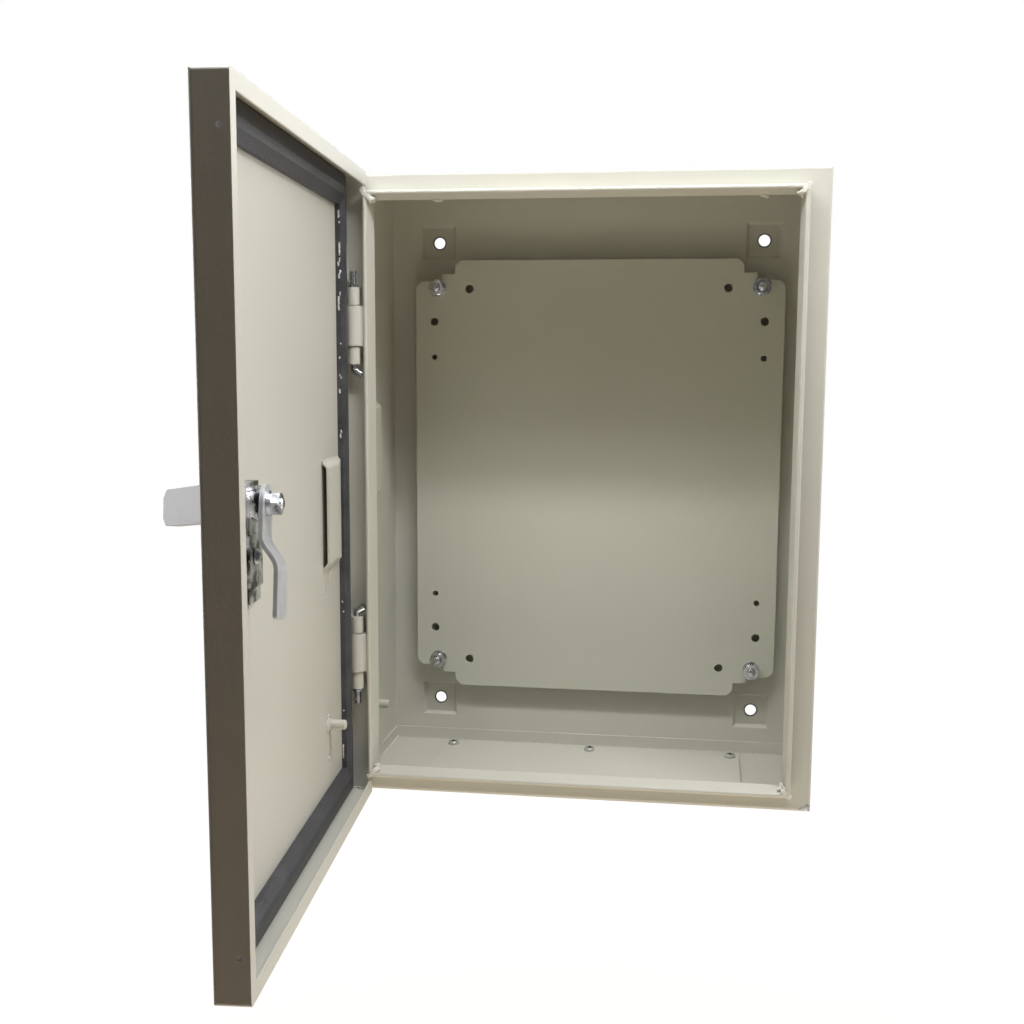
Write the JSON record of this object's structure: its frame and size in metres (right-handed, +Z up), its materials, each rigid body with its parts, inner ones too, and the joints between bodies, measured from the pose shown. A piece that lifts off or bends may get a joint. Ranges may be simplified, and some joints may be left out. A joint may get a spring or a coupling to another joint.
{
  "type": "electrical distribution box",
  "caption": "Wall-mounted sheet-steel distribution box with side-hinged sealed door, flush pop-out lever lock, perforated mounting plate on studs and a screwed gland plate.",
  "frame": {"origin": "centre of the four wall holes on the plane of the wall", "axes": "+Y into the wall, front towards -Y, +Z up, +X to the right seen from the front"},
  "size_m": [0.3371, 0.4262, 0.4],
  "materials": {
    "box_paint": "semi-gloss powder coat with a fine orange-peel",
    "plate_paint": "semi-gloss powder coat",
    "door_paint": "semi-gloss powder coat with a fine orange-peel",
    "seal_foam": "foamed-in-place closed-cell seal",
    "zinc_steel": "bright zinc plating",
    "lock_chrome": "satin chrome over zinc die-cast"
  },
  "bodies": {
    "enclosure": {"shell": "box_paint", "floor_pan": "box_paint", "gland_gasket": "seal_foam", "gland_plate": "box_paint", "gland_screws": "zinc_steel", "plate_studs": "zinc_steel", "plate_spacers": "zinc_steel", "mounting_plate": "plate_paint", "plate_washers": "zinc_steel", "plate_spring_washers": "zinc_steel", "plate_nuts": "zinc_steel", "body_strap": "box_paint", "body_earth_stud": "box_paint", "hinge_upper_knuckle": "box_paint", "hinge_lower_knuckle": "box_paint", "hinge_upper_pin": "zinc_steel", "hinge_lower_pin": "zinc_steel", "hinge_clips": "zinc_steel"},
    "door": {"door_pan": "door_paint", "door_gasket": "seal_foam", "hinge_upper_leaf": "door_paint", "hinge_lower_leaf": "door_paint", "door_strap": "door_paint", "door_earth_stud": "door_paint", "lock_housing": "lock_chrome", "lock_clamp": "lock_chrome", "lock_screw": "zinc_steel"},
    "lock_rotor": {"lock_spindle": "lock_chrome", "lock_cam": "zinc_steel", "cam_washer": "zinc_steel", "cam_spring_washer": "zinc_steel", "cam_nut": "zinc_steel", "handle_pin": "zinc_steel"},
    "handle": {"handle": "lock_chrome"},
    "button": {"release_button": "lock_chrome", "button_clip": "zinc_steel"}
  },
  "joints": [
    {"name": "door_swing", "type": "hinge", "parent": "enclosure", "child": "door", "pos_m": [-0.14324, -0.13335, 0], "axis": [0, 0, 1], "range_deg": [-6, 85.5]},
    {"name": "lock_turn", "type": "hinge", "parent": "door", "child": "lock_rotor", "pos_m": [-0.13253, -0.36948, 0.0175], "axis": [-0.9969, -0.0785, 0], "range_deg": [-10, 80]},
    {"name": "handle_pop", "type": "hinge", "parent": "lock_rotor", "child": "handle", "pos_m": [-0.1425, -0.37026, 0.0175], "axis": [-0.0136, 0.1731, 0.9848], "range_deg": [-40, 0]},
    {"name": "button_press", "type": "slide", "parent": "door", "child": "button", "axis": [0.9969, 0.0785, 0], "range_m": [0, 0.0018], "stiffness_N_per_m": 400}
  ]
}
